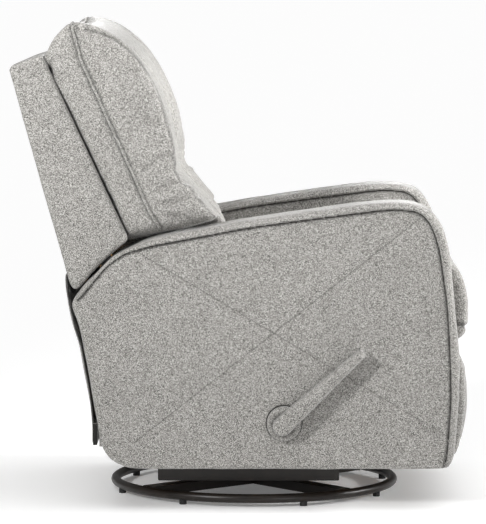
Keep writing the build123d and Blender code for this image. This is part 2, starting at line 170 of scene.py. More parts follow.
def dent(shape, d):
    # a soft dent of a given depth and width, at distance d from its middle
    deep, wide = shape
    return deep * bell(d, wide)


def distanceTo(line, p):
    # distance of points to a row of points, and how far along it each one is
    best = np.full(len(p), 1e9)
    along = np.zeros(len(p))
    run = 0.0
    for a, b in zip(line[:-1], line[1:]):
        a, b = np.array(a, float), np.array(b, float)
        d = b - a
        size = np.linalg.norm(d)
        if size < 1e-9:
            continue
        t = np.clip((p - a) @ d / size ** 2, 0, 1)
        gap = np.linalg.norm(p - a - t[:, None] * d, axis=1)
        near = gap < best
        best[near] = gap[near]
        along[near] = run + t[near] * size
        run += size
    return best, along


def gapTo(points, plane):
    # distance to a row given in millimetres
    return distanceTo(metres(points), plane)[0]


def insideOf(loop, p):
    inside = np.zeros(len(p), bool)
    for (ax, az), (bx, bz) in zip(loop, loop[1:] + loop[:1]):
        if abs(az - bz) < 1e-12:
            continue
        crosses = (p[:, 1] < az) != (p[:, 1] < bz)
        inside ^= crosses & (p[:, 0] < ax + (p[:, 1] - az) * (bx - ax) / (bz - az))
    return inside


def softNoise(co, size, seed):
    return np.array([noise.noise(Vector(p) / size + Vector((seed, seed * 1.7, 0))) for p in co])


def noiseBands(co, tall, long, seed):
    # level bands, for folds that run round the piece
    return np.array([noise.noise(Vector((p[0] / long + seed, p[1] / long, p[2] / tall))) for p in co])


def slabPiece(name, loop, yLow, yHigh, rim, segments=3):
    # a side outline in X and Z, given thickness in Y, with rounded rims
    bm = bmesh.new()
    face = bm.faces.new([bm.verts.new((p[0], yLow, p[1])) for p in loop])
    grown = bmesh.ops.extrude_face_region(bm, geom=[face])
    moved = [g for g in grown["geom"] if isinstance(g, bmesh.types.BMVert)]
    bmesh.ops.translate(bm, vec=(0, yHigh - yLow, 0), verts=moved)
    bmesh.ops.recalc_face_normals(bm, faces=bm.faces)
    rims = [e for e in bm.edges if abs(e.verts[0].co.y - e.verts[1].co.y) < 1e-6]
    bmesh.ops.bevel(bm, geom=rims, offset=rim, segments=segments, profile=0.5,
                    affect="EDGES", material=-1)
    return newPiece(name, bm)


def joined(name, blocks):
    # several slabs in one mesh: each is its name, loop, low and high plane, rim and segments
    bm = bmesh.new()
    for block in blocks:
        piece = slabPiece(*block)
        bm.from_mesh(piece.data)
        bpy.data.objects.remove(piece)
    return newPiece(name, bm)


def filled(obj, sewn, pressure, cap):
    # air pressure in the cover, held where it is sewn; no point moves further than cap
    frames, stiff = 20, 15
    rest = readPoints(obj)
    group = obj.vertex_groups.new(name="sewn")
    steps = np.round(np.clip(sewn, 0, 1) * 10).astype(int)
    for step in range(1, 11):
        chosen = np.nonzero(steps == step)[0]
        if len(chosen):
            group.add(chosen.tolist(), step / 10, "REPLACE")
    mod = obj.modifiers.new("fill", "CLOTH")
    cloth = mod.settings
    cloth.quality = 4
    cloth.mass = 0.3
    cloth.use_pressure = True
    cloth.uniform_pressure_force = pressure
    cloth.vertex_group_mass = "sewn"
    cloth.effector_weights.gravity = 0
    cloth.tension_stiffness = stiff
    cloth.compression_stiffness = stiff
    cloth.shear_stiffness = stiff / 3
    cloth.bending_stiffness = 0.6
    mod.collision_settings.use_collision = False
    mod.point_cache.frame_start = 1
    mod.point_cache.frame_end = frames
    for f in range(1, frames + 1):
        scene.frame_set(f)
    bakeModifiers(obj)
    scene.frame_set(1)
    obj.vertex_groups.clear()
    moved = readPoints(obj) - rest
    size = np.linalg.norm(moved, axis=1)
    writePoints(obj, rest + moved * np.minimum(1, cap / np.maximum(size, 1e-9))[:, None])


def skinTree(obj):
    bm = bmesh.new()
    bm.from_mesh(obj.data)
    tree = BVHTree.FromBMesh(bm)
    bm.free()
    return tree


def onSkin(tree, start, way, lift):
    hit = tree.ray_cast(Vector(start), Vector(way))
    if hit[0] is None:
        near = tree.find_nearest(Vector(start))
        return near[0] + near[1] * lift
    return hit[0] + hit[1] * lift


def cords(name, lines, radius, sides=6):
    # round cords along rows of points, as one mesh
    curve = bpy.data.curves.new(name, "CURVE")
    curve.dimensions = "3D"
    curve.bevel_depth = radius
    curve.bevel_resolution = max(0, sides // 2 - 2)
    curve.use_fill_caps = True
    for line in lines:
        spline = curve.splines.new("POLY")
        spline.points.add(len(line) - 1)
        for point, place in zip(spline.points, line):
            point.co = (*place, 1)
    obj = bpy.data.objects.new(name, curve)
    scene.collection.objects.link(obj)
    mesh = bpy.data.meshes.new_from_object(obj)
    bpy.data.objects.remove(obj)
    obj = bpy.data.objects.new(name, mesh)
    scene.collection.objects.link(obj)
    return obj


# ---- materials ----

def fromHex(code):
    # sRGB hex to linear
    out = []
    for i in (1, 3, 5):
        c = int(code[i:i + 2], 16) / 255
        out.append(c / 12.92 if c <= 0.04045 else ((c + 0.055) / 1.055) ** 2.4)
    return (*out, 1)


def addNode(tree, kind, settings=None, links=None):
    # settings go to the input of that name or number, or else to the node itself
    node = tree.nodes.new(kind)
    for key, value in (settings or {}).items():
        if isinstance(key, int) or key in node.inputs:
            node.inputs[key].default_value = value
        else:
            setattr(node, key, value)
    for key, source in (links or {}).items():
        tree.links.new(source, node.inputs[key])
    return node


def newMaterial(name):
    mat = bpy.data.materials.new(name)
    mat.use_nodes = True
    tree = mat.node_tree
    tree.nodes.clear()
    out = addNode(tree, "ShaderNodeOutputMaterial")
    return mat, tree, out


def twoTones(tree, source, low, high, spread=(0.3, 0.7)):
    # a colour ramp from one sRGB hex to another
    ramp = addNode(tree, "ShaderNodeValToRGB", {}, {"Fac": source})
    for stop, place, code in zip(ramp.color_ramp.elements, spread, (low, high)):
        stop.position, stop.color = place, fromHex(code)
    return ramp


# heathered upholstery weave, polyester and linen look, piece dyed: matt, salt and pepper yarns
weaveLook = {
    "darkYarn": "#33322f", "midYarn": "#817f7b", "lightYarn": "#c3c1bd",
    "fleckMm": 1.1,   # yarns are about 1 mm; drawn coarser so that they show at this image size
    "threadMm": 1.5,
    "bump": 0.35,
    # the darkest painted shade, at the bottom of a seam, keeps this much of the colour
    "seamTone": 0.22,   # what the bottom of a seam keeps of the colour
}


def heatheredWeave(name, look):
    mat, tree, out = newMaterial(name)
    place = addNode(tree, "ShaderNodeTexCoord")
    flecks = addNode(tree, "ShaderNodeTexVoronoi",
                     {"Scale": 1000 / look["fleckMm"], "Randomness": 1.0},
                     {"Vector": place.outputs["Object"]})
    split = addNode(tree, "ShaderNodeSeparateColor", {}, {0: flecks.outputs["Color"]})
    ramp = twoTones(tree, split.outputs[0], look["darkYarn"], look["lightYarn"], (0.0, 1.0))
    middle = ramp.color_ramp.elements.new(0.45)
    middle.color = fromHex(look["midYarn"])
    drift = addNode(tree, "ShaderNodeTexNoise", {"Scale": 14.0, "Detail": 1.0},
                    {"Vector": place.outputs["Object"]})
    driftRange = addNode(tree, "ShaderNodeMapRange",
                         {"From Min": 0.3, "From Max": 0.7, "To Min": 0.97, "To Max": 1.03},
                         {"Value": drift.outputs["Fac"]})
    # inputs 0, 6 and 7 of a colour mix are its factor and its two colours, output 2 is its result
    tinted = addNode(tree, "ShaderNodeMix", {"data_type": "RGBA", "blend_type": "MULTIPLY", 0: 1.0},
                     {6: ramp.outputs["Color"], 7: driftRange.outputs["Result"]})
    # painted shade: the colour is darkened by a point attribute, in seams and gaps where shade falls
    seam = addNode(tree, "ShaderNodeAttribute", {"attribute_name": "seam"})
    shade = addNode(tree, "ShaderNodeMapRange", {"To Min": 1.0, "To Max": look["seamTone"]},
                    {"Value": seam.outputs["Fac"]})
    colour = addNode(tree, "ShaderNodeMix", {"data_type": "RGBA", "blend_type": "MULTIPLY", 0: 1.0},
                     {6: tinted.outputs[2], 7: shade.outputs["Result"]})
    threads = addNode(tree, "ShaderNodeTexVoronoi", {"Scale": 1000 / look["threadMm"]},
                      {"Vector": place.outputs["Object"]})
    bump = addNode(tree, "ShaderNodeBump", {"Strength": look["bump"], "Distance": 0.0012},
                   {"Height": threads.outputs["Distance"]})
    bump.invert = True
    cloth = addNode(tree, "ShaderNodeBsdfPrincipled",
                    {"Roughness": 0.92, "Sheen Weight": 0.4, "Sheen Roughness": 0.35,
                     "Specular IOR Level": 0.2},
                    {"Base Color": colour.outputs[2], "Normal": bump.outputs["Normal"]})
    tree.links.new(cloth.outputs[0], out.inputs[0])
    return mat


# baked powder coat on steel, half gloss with faint orange peel; with high roughness also thread and lining,
# and the dark cords and caps that are painted shade
def powderCoat(name, colourA, colourB, roughness, peelMm=1.2):
    mat, tree, out = newMaterial(name)
    place = addNode(tree, "ShaderNodeTexCoord")
    tone = addNode(tree, "ShaderNodeTexNoise", {"Scale": 35.0, "Detail": 4.0},
                   {"Vector": place.outputs["Object"]})
    ramp = twoTones(tree, tone.outputs["Fac"], colourA, colourB)
    peel = addNode(tree, "ShaderNodeTexNoise", {"Scale": 1000 / peelMm, "Detail": 1.0},
                   {"Vector": place.outputs["Object"]})
    bump = addNode(tree, "ShaderNodeBump", {"Strength": 0.12, "Distance": 0.0002},
                   {"Height": peel.outputs["Fac"]})
    coat = addNode(tree, "ShaderNodeBsdfPrincipled", {"Roughness": roughness, "Specular IOR Level": 0.42},
                   {"Base Color": ramp.outputs["Color"], "Normal": bump.outputs["Normal"]})
    tree.links.new(coat.outputs[0], out.inputs[0])
    return mat


# zinc plated steel, tumbled: pale grey metal with a soft cloudy sheen
def zincPlate(name):
    mat, tree, out = newMaterial(name)
    place = addNode(tree, "ShaderNodeTexCoord")
    cloud = addNode(tree, "ShaderNodeTexNoise", {"Scale": 220.0, "Detail": 3.0},
                    {"Vector": place.outputs["Object"]})
    ramp = twoTones(tree, cloud.outputs["Fac"], "#8e9294", "#c3c6c4", (0.0, 1.0))
    rough = addNode(tree, "ShaderNodeMapRange", {"To Min": 0.28, "To Max": 0.5},
                    {"Value": cloud.outputs["Fac"]})
    metal = addNode(tree, "ShaderNodeBsdfPrincipled", {"Metallic": 1.0},
                    {"Base Color": ramp.outputs["Color"], "Roughness": rough.outputs["Result"]})
    tree.links.new(metal.outputs[0], out.inputs[0])
    return mat


# plywood and softwood, sawn and unfinished: pale grain along the board
def rawTimber(name):
    mat, tree, out = newMaterial(name)
    place = addNode(tree, "ShaderNodeTexCoord")
    stretch = addNode(tree, "ShaderNodeMapping", {"Scale": (1.0, 6.0, 14.0)},
                      {"Vector": place.outputs["Object"]})
    rings = addNode(tree, "ShaderNodeTexNoise", {"Scale": 18.0, "Detail": 6.0, "Distortion": 0.6},
                    {"Vector": stretch.outputs["Vector"]})
    ramp = twoTones(tree, rings.outputs["Fac"], "#a87d4e", "#d2ac7a")
    bump = addNode(tree, "ShaderNodeBump", {"Strength": 0.2, "Distance": 0.0004},
                   {"Height": rings.outputs["Fac"]})
    wood = addNode(tree, "ShaderNodeBsdfPrincipled", {"Roughness": 0.72},
                   {"Base Color": ramp.outputs["Color"], "Normal": bump.outputs["Normal"]})
    tree.links.new(wood.outputs[0], out.inputs[0])
    return mat


weave = heatheredWeave("heathered weave", weaveLook)
thread = powderCoat("sewing thread", "#4a4946", "#5a5855", 0.9, 0.6)
# dark cords in the welt seams and round the lever boss: partly sewing thread, partly painted shade of the
# crevice
seamThread = powderCoat("seam thread", "#2e2d2b", "#3c3b38", 0.95, 0.6)
bronze = powderCoat("bronze powder coat", "#15110d", "#221a14", 0.36)
mechanismPaint = powderCoat("mechanism paint", "#1f2022", "#2b2c2e", 0.5)
glidePlastic = powderCoat("moulded nylon", "#161616", "#202020", 0.55, 0.5)
zinc = zincPlate("zinc plate")
timber = rawTimber("raw timber")
# black lining cloth, partly real lining and partly painted shade: it stays dark in gaps where only shade
# shows
liningAndShade = powderCoat("black lining and painted gap shade", "#171615", "#22211f", 0.95, 0.6)

finishes = {
    "woven_fabric": weave, "bronze_powder_coat": bronze, "mechanism_steel": mechanismPaint,
    "zinc_steel": zinc, "frame_timber": timber, "glide_plastic": glidePlastic,
}
slotOfNode = {}
for row in frame["record"]["subparts"]:
    slotOfNode[row["node"]] = row["material_slot"]
for nodeName, obj in nodes.items():
    chosen = finishes.get(slotOfNode.get(nodeName), mechanismPaint)
    # these boards show only in shaded gaps; their black lining is partly painted shade
    if nodeName in ("back_bottom_rail", "footrest_board"):
        chosen = liningAndShade   # such boards are covered before the cloth is fixed to them
    obj.data.materials.clear()
    obj.data.materials.append(chosen)
print("materials done")


def dress(obj, body, *replaced, material=weave):
    obj.data.materials.clear()
    obj.data.materials.append(material)
    obj.data.shade_smooth()
    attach(obj, body)
    if replaced:
        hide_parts(*replaced)


# ---- arms ----

armLook = {
    "outer": 370, "inner": 248, "panel": 362,
    "outline": [
        (-385, 442), (-371, 467), (-356, 486), (-333, 508), (-309, 533), (-290, 548), (-252, 567),
        (-224, 578), (-190, 588), (-154, 595), (-66, 610), (-6, 621), (110, 638), (227, 654),
        (298, 659), (342, 655), (373, 643), (392, 622), (407, 594), (417, 550), (424, 480),
        (432, 400), (439, 327), (439, 266), (436, 206), (432, 155), (428, 118), (420, 98), (404, 90),
        (300, 89), (100, 89), (-100, 89), (-239, 89), (-280, 97), (-306, 112), (-323, 140),
        (-332, 191), (-340, 233), (-359, 341), (-372, 400),
    ],
    "welt": [
        (-372, 452), (-358, 467), (-333, 497), (-313, 520), (-292, 537), (-267, 552), (-243, 559),
        (-214, 567), (-154, 578), (-66, 595), (-6, 606), (110, 622), (227, 637), (263, 642),
        (298, 644), (333, 642), (350, 637), (364, 627), (377, 609), (386, 586), (394, 560),
        (399, 530), (404, 495), (409, 464), (413, 423), (416, 376), (420, 287), (421, 246),
        (419, 206), (416, 155), (412, 116), (405, 90),
    ],
    # with the welt, these points close a loop round the flat panel
    "belowWelt": [(400, 20), (-500, 20), (-500, 450)],
    "stitches": [[(-236, 548), (398, 169)], [(-255, 145), (356, 628)]],
    "voxel": 0.0065, "rim": 0.006,
    # depth of the padded band under the outer plane, by distance in from the outline, in mm
    "band": [(0, 20), (1, 14), (3, 8.5), (6, 3.5), (9, 1.0), (12, 0.4), (15, 1.8), (18, 5)],
    "hem": [(0, 18), (1.5, 13), (4, 10), (8, 8.3), (12, 8)],
    # the inner face is plainer: how deep its panel lies, and what it keeps of the outer face's depths
    "innerSink": 0.0035, "innerCrown": 0.5, "innerHem": 0.45, "innerBand": 0.8,
    "groove": (0.0045, 0.0042), "crown": 0.0022, "swell": 0.0016, "stitchDip": (0.0014, 0.0024),
    "pucker": 0.0009, "ripple": 0.0011, "boxingRipple": 0.0010,
    "weltShade": (0.9, 0.0040), "stitchShade": (0.22, 0.0022),
    "weltRadius": 0.0030, "weltOut": 0.0045, "seamRadius": 0.0013, "stitchRadius": 0.0004,
    "stitchPoints": 120,
}


def shapeArm(arm, side, look, loop, weltLine):
    inner, outer = look["inner"] / 1000, look["outer"] / 1000
    co = readPoints(arm)
    no = readNormals(arm)
    plane = co[:, [0, 2]]
    inFromEdge, _ = distanceTo(loop + loop[:1], plane)
    toWelt, alongWelt = distanceTo(weltLine, plane)
    onPanel = insideOf([tuple(p) for p in weltLine] + metres(look["belowWelt"]), plane)
    stitchGap = np.minimum(*(gapTo(line, plane) for line in look["stitches"]))
    band = np.interp(inFromEdge * 1000, *zip(*look["band"])) / 1000
    hem = np.interp(inFromEdge * 1000, *zip(*look["hem"])) / 1000
    pucker = np.array([noise.noise(Vector((a * 55, w * 30, 3.1 * side)))
                       for a, w in zip(alongWelt, toWelt)])
    broad = softNoise(co, 0.11, 4.0 + side)
    groove = dent(look["groove"], toWelt) * onPanel
    crown = look["crown"] * ease(toWelt / 0.09) * ease(inFromEdge / 0.05)
    pillowing = look["swell"] * ease(stitchGap / 0.05) - dent(look["stitchDip"], stitchGap)
    ripple = look["pucker"] * pucker * bell(toWelt, 0.022) + look["ripple"] * broad
    # painted shade along the welt groove and the crossed stitch grooves, where shade falls
    weltShade = dent(look["weltShade"], toWelt + 0.004 * ~onPanel)
    shade = np.zeros(len(co))
    for face in (1, -1):
        # face 1 is the outer side of the arm, -1 the inner one
        if face > 0:
            reach = side * co[:, 1]
            panel = outer - look["panel"] / 1000 + groove - (crown + pillowing + ripple)
            panel = np.maximum(panel, hem)
            depth = np.where(onPanel, panel, band)
            faceShade = weltShade + dent(look["stitchShade"], stitchGap)
        else:
            reach = (inner + outer) - side * co[:, 1]
            panel = look["innerSink"] + groove - (crown * look["innerCrown"] + ripple)
            panel = np.maximum(panel, hem * look["innerHem"])
            depth = np.where(onPanel, panel, band * look["innerBand"])
            faceShade = weltShade
        facing = reach > outer - 0.030
        target = outer - depth
        lowered = np.where(facing, np.minimum(reach, target), reach)
        flat = facing & onPanel & (np.abs(no[:, 1]) > 0.6)
        lowered = np.where(flat, target, lowered)
        co[:, 1] += side * face * (lowered - reach)
        shade = np.maximum(shade, facing * faceShade)
    boxing = np.abs(no[:, 1]) < 0.6
    co += no * (look["boxingRipple"] * softNoise(co, 0.05, 9.0 + side) * boxing)[:, None]
    writePoints(arm, co)
    paintShade(arm, shade)


def armCords(arm, side, tag, look, weltLine):
    # welts, and dark cords of thread and painted crevice shade in the seams beside them on both faces, and
    # crossed stitch lines on the outer one
    tree = skinTree(arm)
    farOut, farIn = look["outer"] / 1000 + 0.05, look["inner"] / 1000 - 0.05
    last = len(weltLine) - 1
    welts = []
    seams = []
    for face, far in ((1, farOut), (-1, farIn)):
        way = (0, -side * face, 0)
        welt = []
        for k, p in enumerate(weltLine):
            ahead = weltLine[min(k + 1, last)] - weltLine[max(k - 1, 0)]
            ahead = ahead / max(np.linalg.norm(ahead), 1e-9)
            out = p + np.array((-ahead[1], ahead[0])) * look["weltOut"]
            welt.append(tuple(onSkin(tree, (out[0], side * far, out[1]), way, -0.0007)))
        welts.append(welt)
        seams.append([tuple(onSkin(tree, (p[0], side * far, p[1]), way, 0.0006)) for p in weltLine])
    dress(cords("armWelt" + tag, welts, look["weltRadius"]), "chair")
    dress(cords("armSeamShade" + tag, seams, look["seamRadius"], 4), "chair", material=seamThread)
    rows = []
    for a, b in look["stitches"]:
        row = []
        for k in range(look["stitchPoints"] + 1):
            t = k / look["stitchPoints"]
            x, z = ((a[i] + (b[i] - a[i]) * t) / 1000 for i in (0, 1))
            row.append(tuple(onSkin(tree, (x, side * farOut, z), (0, -side, 0), 0.00005)))
        rows.append(row)
    dress(cords("armStitch" + tag, rows, look["stitchRadius"], 4), "chair", material=thread)


def armPiece(side, look):
    tag = "_r" if side < 0 else "_l"
    loop = sideLine(look["outline"], 0.010, closed=True)
    weltLine = [np.array(p) for p in sideLine(look["welt"], 0.008)]
    # the slab stays half a millimetre inside the arm's two planes
    low, high = sorted((side * (look["inner"] / 1000 + 0.0005), side * (look["outer"] / 1000 - 0.0005)))
    arm = slabPiece("arm" + tag, loop, low, high, look["rim"])
    remeshed(arm, look["voxel"])
    relaxed(arm, 2)
    finer(arm)
    shapeArm(arm, side, look, loop, weltLine)
    dress(arm, "chair", "arm_cover" + tag)
    armCords(arm, side, tag, look, weltLine)


for side in (-1, 1):
    armPiece(side, armLook)
print("arms done")


# ---- seat cushion ----

seatLook = {
    "voxel": 0.006, "half": 0.242, "rim": 0.016,
    "outline": [
        (-180, 360), (404, 360), (416, 352), (440, 352), (456, 366), (463, 384), (463, 410),
        (464, 431), (460, 458), (450, 490), (434, 512), (408, 529), (370, 538), (300, 543),
        (200, 545), (80, 543), (-40, 538), (-160, 525), (-185, 512),
    ],
    "frontSeam": [(404, 388), (438, 388), (475, 376)],
    "groove": (0.006, 0.006), "shade": (0.7, 0.006), "wave": 0.0022,
    "pressure": 4.0, "lift": 0.016,
}


def seatPiece(look):
    half = look["half"] - 0.004
    seat = slabPiece("seatCushion", sideLine(look["outline"], 0.012, closed=True), -half, half, look["rim"])
    remeshed(seat, look["voxel"])
    co = readPoints(seat)
    outY = np.abs(co[:, 1])
    # the boxing seams on top, the foot, the rear and both sides hold the cover
    sewn = np.maximum(bell(np.abs(outY - (look["half"] - 0.014)), 0.006) * (readNormals(seat)[:, 2] > 0.3), 0)
    foot = ease((0.40 - co[:, 2]) / 0.05)
    rear = ease((-0.13 - co[:, 0]) / 0.04)
    sewn = np.maximum(sewn, np.maximum(foot, rear))
    sewn = np.maximum(sewn, ease((outY - (look["half"] - 0.010)) / 0.004))
    filled(seat, sewn, look["pressure"], look["lift"])
    finer(seat)
    relaxed(seat, 2)
    co = readPoints(seat)
    no = readNormals(seat)
    gap = gapTo(look["frontSeam"], co[:, [0, 2]])
    front = ease((co[:, 0] - 0.40) / 0.02)
    groove = dent(look["groove"], gap) * front
    wave = look["wave"] * softNoise(co, 0.09, 2.0) * (no[:, 2] > -0.5)
    co = co - no * groove[:, None] + no * wave[:, None]
    # the cushion stays between the arms
    limit = look["half"] + 0.002
    co[:, 1] = np.clip(co[:, 1], -limit, limit)
    writePoints(seat, co)
    # painted shade in the front seam's groove
    paintShade(seat, dent(look["shade"], gap) * front)
    dress(seat, "chair", "seat_cushion")


seatPiece(seatLook)
print("seat done")


# ---- footrest pad ----

padLook = {
    "voxel": 0.0055, "half": 0.240, "rim": 0.012,
    "outline": [
        (422, 103), (436, 101), (446, 118), (453, 150), (457, 190), (459, 225), (458, 262),
        (455, 292), (451, 312), (444, 325), (432, 329), (422, 327),
    ],
    # two upright seams, this far in from the ends
    "seamIn": 0.022, "groove": (0.0028, 0.004), "shade": (0.55, 0.004), "wave": 0.0015,
    "pressure": 3.0, "lift": 0.006,
}


def padPiece(look):
    loop = sideLine(look["outline"], 0.010, closed=True)
    pad = slabPiece("footrestPad", loop, -look["half"], look["half"], look["rim"])
    remeshed(pad, look["voxel"])
    co = readPoints(pad)
    rear = ease((0.434 - co[:, 0]) / 0.006)
    sewn = np.maximum(ease((np.abs(co[:, 1]) - look["half"] + 0.006) / 0.004), rear)
    filled(pad, sewn, look["pressure"], look["lift"])
    finer(pad)
    relaxed(pad, 2)
    co = readPoints(pad)
    no = readNormals(pad)
    seamGap = np.abs(np.abs(co[:, 1]) - (look["half"] - look["seamIn"]))
    front = no[:, 0] > 0.2
    groove = dent(look["groove"], seamGap) * front
    co = co - no * groove[:, None] + no * (look["wave"] * softNoise(co, 0.08, 6.0))[:, None]
    writePoints(pad, co)
    # painted shade in the two upright seams' grooves
    paintShade(pad, dent(look["shade"], seamGap) * front)
    dress(pad, "footrest", "footrest_pad")


padPiece(padLook)
print("footrest pad done")


# ---- back shell ----

shellLook = {
    "voxel": 0.0075,
    # the rear face, in metres: its foot and its way up, both in X and Z, and how far up the crown reaches
    "foot": (-0.390, 0.482), "slope": (-0.270, 0.963), "high": 0.46,
    "crown": 0.006, "ripple": 0.0016,
}


def shellPiece(look):
    shell = copyOfNode("back_shell", "backShell")
    remeshed(shell, look["voxel"])
    relaxed(shell, 6)
    finer(shell)
    co = readPoints(shell)
    no = readNormals(shell)
    outY = np.abs(co[:, 1])
    # a soft crown on the rear, and a little unevenness there and on both side panels
    along = (co[:, [0, 2]] - np.array(look["foot"])) @ np.array(look["slope"])
    rearFace = ease((-no[:, 0] * look["slope"][1] - 0.5) / 0.3)
    crown = look["crown"] * ease((0.34 - outY) / 0.15)
    crown = crown * ease(along / 0.12) * ease((look["high"] - along) / 0.12)
    sideFace = ease((np.abs(no[:, 1]) - 0.7) / 0.2) * (outY > 0.335)
    co = co + no * (rearFace * crown)[:, None]
    co = co + no * (look["ripple"] * softNoise(co, 0.12, 7.0) * np.maximum(rearFace, sideFace))[:, None]
    writePoints(shell, co)
    dress(shell, "backrest", "back_shell")


shellPiece(shellLook)
print("shell done")


# ---- back pillow ----

pillowLook = {
    "voxel": 0.006, "inWings": 0.318, "wide": 0.342, "narrow": 0.240, "rim": 0.009,
    # side outline, a little inside the finished cover
    "front": [
        (-58, 552), (-59, 598), (-66, 614), (-90, 643), (-111, 673), (-129, 695), (-148, 717),
        (-158, 738), (-163, 757), (-169, 795), (-179, 829), (-193, 872), (-210, 910), (-231, 950),
        (-262, 987), (-300, 1016), (-340, 1033), (-374, 1040),
    ],
    "rear": [
        (-388, 1040), (-422, 1007), (-437, 977), (-442, 950), (-440, 930), (-420, 875), (-370, 760),
        (-323, 663), (-300, 612), (-288, 585),
    ],
    # the lower edge of the wide part, which rests on the arms, and the foot between them
    "wing": [(-268, 573), (-154, 598), (-50, 617)],
    "narrowFoot": [(-290, 560), (-260, 552)],
    "welt": [
        (-385, 1038), (-379, 1013), (-371, 986), (-365, 961), (-352, 933), (-339, 904), (-326, 876),
        (-316, 852), (-260, 730), (-246, 700), (-232, 665), (-216, 632), (-198, 604),
    ],
    "sideSeam": [
        (-355, 1025), (-331, 1019), (-311, 1012), (-292, 1004), (-277, 993), (-262, 981), (-245, 965),
        (-230, 946), (-216, 928), (-204, 905), (-196, 880), (-184, 830), (-174, 795), (-167, 757),
        (-162, 739), (-152, 717), (-133, 694), (-115, 672), (-94, 641), (-71, 614),
    ],
    "shellSeam": [
        (-434, 944), (-433, 930), (-428, 916), (-417, 897), (-406, 876), (-393, 852), (-303, 663),
        (-290, 635), (-277, 605), (-266, 586),
    ],
    "folds": [
        [(-166, 757), (-195, 752), (-222, 744)], [(-172, 748), (-205, 738), (-236, 720)],
        [(-134, 703), (-177, 690), (-215, 671)], [(-113, 671), (-155, 656), (-198, 649)],
        [(-155, 626), (-203, 630)], [(-434, 942), (-409, 927)], [(-433, 936), (-415, 914)],
        [(-431, 950), (-401, 961)],
    ],
    "armTop": [(-300, 550), (-252, 569), (-154, 597), (-66, 612), (-6, 623)],
    # the tuft in the middle of the X, in metres
    "tuftHeight": 0.752, "tuft": 0.034,
    # each end of the X: out from the middle, along the front (from its top where negative), and how deep
    "ends": [(0.295, -0.085, 0.013), (0.215, 0.03, 0.012)],
    # the waist between them runs out to here, this deep
    "waistEnd": 0.32, "waist": 0.002,
    "inward": (-0.94, 0, -0.34), "lobe": 0.003,
    "pressure": 4.0, "lift": 0.010,
    "weltGroove": (0.0050, 0.0065), "seamGroove": (0.0035, 0.005),
    "foldDip": (0.0048, 0.0075), "foldLip": (0.0030, 0.009), "lipOut": 0.016,
    "wrinkle": 0.0060, "waistFold": 0.0032, "ripple": 0.0022, "sag": 0.009,
    # the far side's foot sits further back, and the lower lobe has two dips: depth, height and width
    "farBack": 0.016, "lowDips": [(0.012, 0.714, 0.026), (0.006, 0.665, 0.03)],
    "shellTuck": (0.007, 0.030), "armTuck": (0.018, 0.020),
    "weltShade": (0.85, 0.0055), "seamShade": (0.7, 0.0035), "shellShade": (0.25, 0.005),
    "weltRadius": 0.0034,
}


def pillowBlocks(look, front, rear):
    # the wide head in front of the shell's wings, the part between them and the foot between the arms
    wing = metres(look["wing"])
    wideFront = [p for p in front if p[1] > np.interp(p[0], *zip(*wing))]
    crownRear = [p for p in rear if p[1] > 0.945]
    seamRear = [(x + 0.002, z) for x, z in metres(look["shellSeam"])]
    parts = [
        ("pillowHead", wideFront + crownRear + seamRear + [wing[1]], look["wide"]),
        ("pillowInWings", wideFront + rear + wing[:2], look["inWings"]),
        ("pillowFoot", front + rear + metres(look["narrowFoot"]), look["narrow"]),
    ]
    return joined("backPillow", [(name, loop, -half, half, look["rim"], 4) for name, loop, half in parts])


def drawIn(pillow, look, front, middle):
    # the cover is drawn in on an X, deepest at the middle, and a little along the waist
    co = readPoints(pillow)
    gap, along = distanceTo(front, co[:, [0, 2]])
    frontness = bell(np.maximum(gap - 0.008, 0), 0.045)
    sheet = np.stack([co[:, 1], along], axis=1)
    total = sum(np.linalg.norm(np.subtract(b, a)) for a, b in zip(front[:-1], front[1:]))
    centre = np.array((0.0, middle))
    valley = np.zeros(len(co))
    core = np.zeros(len(co))
    for side in (-1, 1):
        for out, place, deep in look["ends"]:
            end = np.array((side * out, place if place > 0 else total + place))
            d, run = distanceTo([centre, end], sheet)
            t = np.clip(run / np.linalg.norm(end - centre), 0, 1)
            depth = look["tuft"] * (1 - t) ** 1.6 + deep * (1 - ease((t - 0.8) / 0.2))
            valley = np.maximum(valley, depth * bell(d, 0.030 - 0.012 * t))
            core = np.maximum(core, bell(d, 0.007) * (t < 0.97))
        d, run = distanceTo([centre, np.array((side * look["waistEnd"], middle + 0.004))], sheet)
        t = np.clip(run / look["waistEnd"], 0, 1)
        depth = look["tuft"] * (1 - t) ** 1.6 + look["waist"]
        valley = np.maximum(valley, depth * bell(d, 0.022 + 0.01 * t))
    inward = np.array(look["inward"])
    inward = inward / np.linalg.norm(inward)
    co = co + inward * (valley * frontness)[:, None]
    # each lobe stands a little proud of the seams round it
    lobe = look["lobe"] * ease((along - middle) / 0.12) * ease((total - along) / 0.16)
    lobe = lobe * ease((0.30 - np.abs(co[:, 1])) / 0.12)
    co = co - inward * (lobe * frontness * (1 - np.clip(valley / 0.012, 0, 1)))[:, None]
    writePoints(pillow, co)
    return co, core * (gap < 0.030)


def heldCover(co, look, rear, core):
    # where the filling can't lift the cover: the X, the seams, the foot and the rear
    plane = co[:, [0, 2]]
    outY = np.abs(co[:, 1])
    held = np.maximum(core, bell(gapTo(look["welt"], plane), 0.008) * (outY > 0.29))
    held = np.maximum(held, bell(gapTo(look["sideSeam"], plane), 0.007) * (outY > 0.325))
    held = np.maximum(held, ease((0.60 - co[:, 2]) / 0.03))
    rearGap, _ = distanceTo(rear, plane)
    return np.maximum(held, bell(rearGap, 0.02) * (co[:, 2] < 0.93))


def sideFolds(plane, look):
    # pulls in the cover of each side, as soft folds with a raised lip
    folds = np.zeros(len(plane))
    for row in look["folds"]:
        d, run = distanceTo(metres(row), plane)
        size = sum(math.dist(p, q) for p, q in zip(row[:-1], row[1:])) / 1000
        fade = ease((run + 0.012) / 0.02) * ease((size + 0.004 - run) / 0.03)
        folds += fade * (dent(look["foldLip"], d - look["lipOut"]) - dent(look["foldDip"], d))
    return folds


